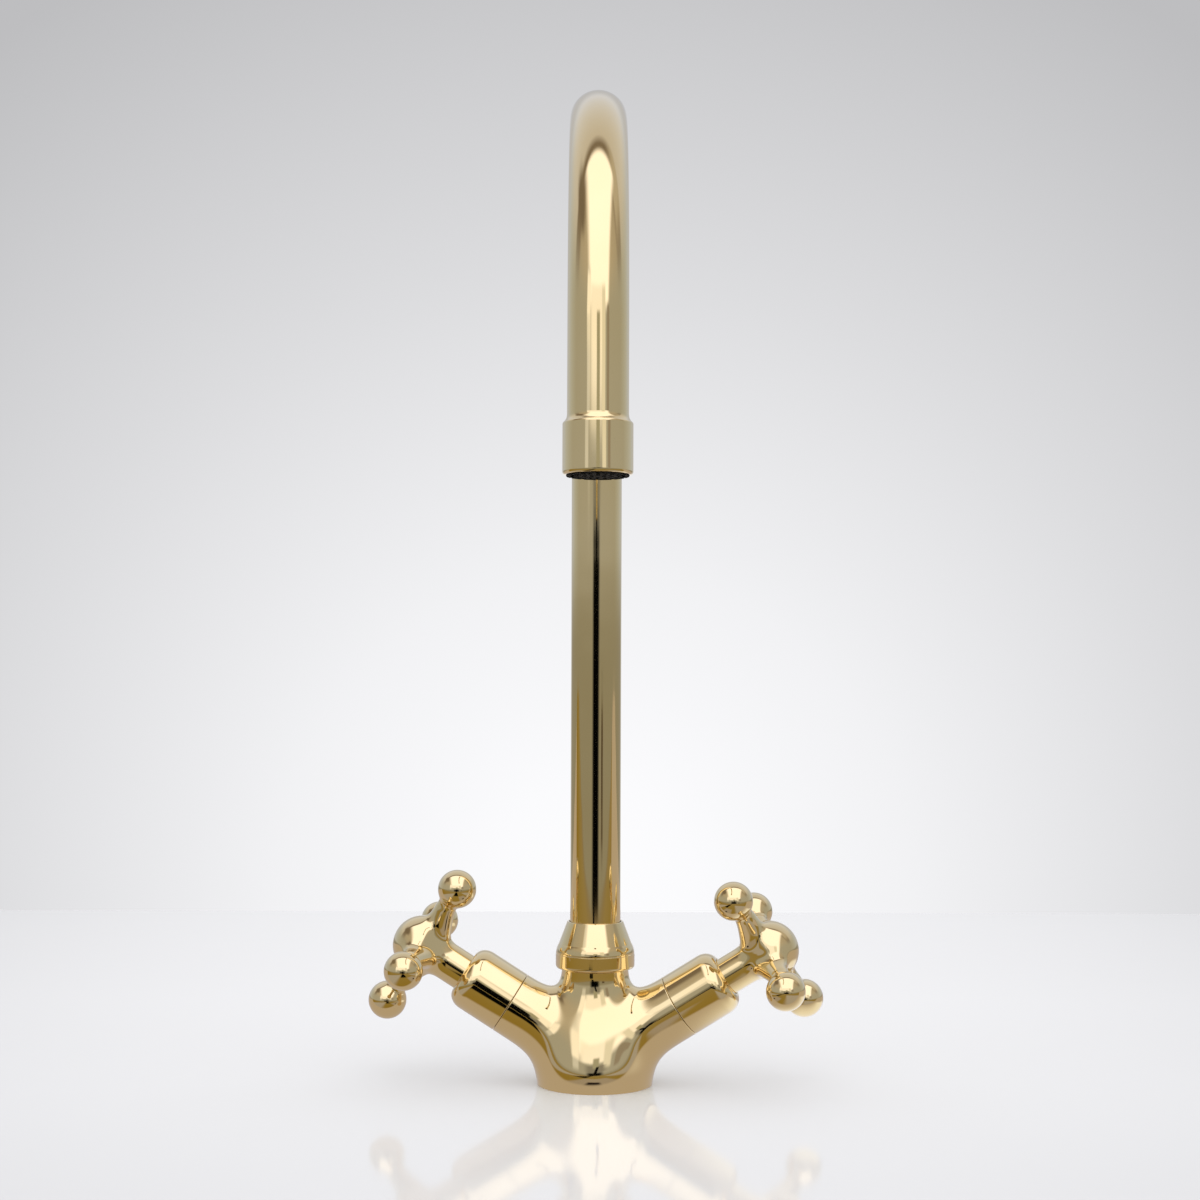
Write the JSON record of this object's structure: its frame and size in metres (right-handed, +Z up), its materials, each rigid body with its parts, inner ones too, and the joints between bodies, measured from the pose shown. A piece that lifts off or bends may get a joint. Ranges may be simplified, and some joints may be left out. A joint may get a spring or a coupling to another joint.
{
  "type": "gooseneck kitchen mixer tap",
  "caption": "One-hole brass kitchen mixer: tall swivelling gooseneck spout with an aerator, blended cast body, and ball-ended cross handles on ceramic valves.",
  "frame": {"origin": "centre of the flat foot on the worktop", "axes": "+Z up along the spout's column, front of the tap towards -Y, +X to the right seen from the front"},
  "size_m": [0.2002, 0.2426, 0.41],
  "materials": {
    "polished_brass": "polished",
    "turned_brass": "turned",
    "rubber": "matte",
    "slip_plastic": "smooth",
    "fibre": "matte",
    "ceramic": "lapped",
    "steel": "bright",
    "black_plastic": "moulded"
  },
  "bodies": {
    "root": {"tap_body": "polished_brass", "base_gasket": "rubber", "spout_nut": "polished_brass", "lower_slip_ring": "slip_plastic", "upper_slip_ring": "slip_plastic", "left_valve_bonnet": "turned_brass", "left_bonnet_washer": "fibre", "left_seat_seal": "rubber", "left_fixed_disc": "ceramic", "left_valve_cover": "polished_brass", "right_valve_bonnet": "turned_brass", "right_bonnet_washer": "fibre", "right_seat_seal": "rubber", "right_fixed_disc": "ceramic", "right_valve_cover": "polished_brass"},
    "spout": {"spout_tube": "polished_brass", "spout_spigot": "turned_brass", "spigot_o_rings": "rubber", "outlet_sleeve": "polished_brass", "aerator_insert": "black_plastic", "aerator_screen": "steel", "aerator_gasket": "rubber"},
    "left_cross": {"left_handle": "polished_brass", "left_handle_grub_screw": "steel", "left_spindle": "turned_brass", "left_moving_disc": "ceramic", "left_spindle_o_rings": "rubber", "left_spindle_clip": "steel"},
    "right_cross": {"right_handle": "polished_brass", "right_handle_grub_screw": "steel", "right_spindle": "turned_brass", "right_moving_disc": "ceramic", "right_spindle_o_rings": "rubber", "right_spindle_clip": "steel"}
  },
  "joints": [
    {"name": "spout_swivel", "type": "hinge", "parent": "root", "child": "spout", "pos_m": [0, 0, 0.063], "axis": [0, 0, 1], "continuous": true},
    {"name": "left_handle_turn", "type": "hinge", "parent": "root", "child": "left_cross", "pos_m": [-0.07592, -0.00318, 0.05982], "axis": [-0.8436, -0.0354, 0.5358], "range_deg": [0, 90]},
    {"name": "right_handle_turn", "type": "hinge", "parent": "root", "child": "right_cross", "pos_m": [0.07592, -0.00318, 0.05982], "axis": [0.8436, -0.0354, 0.5358], "range_deg": [-90, 0]}
  ]
}
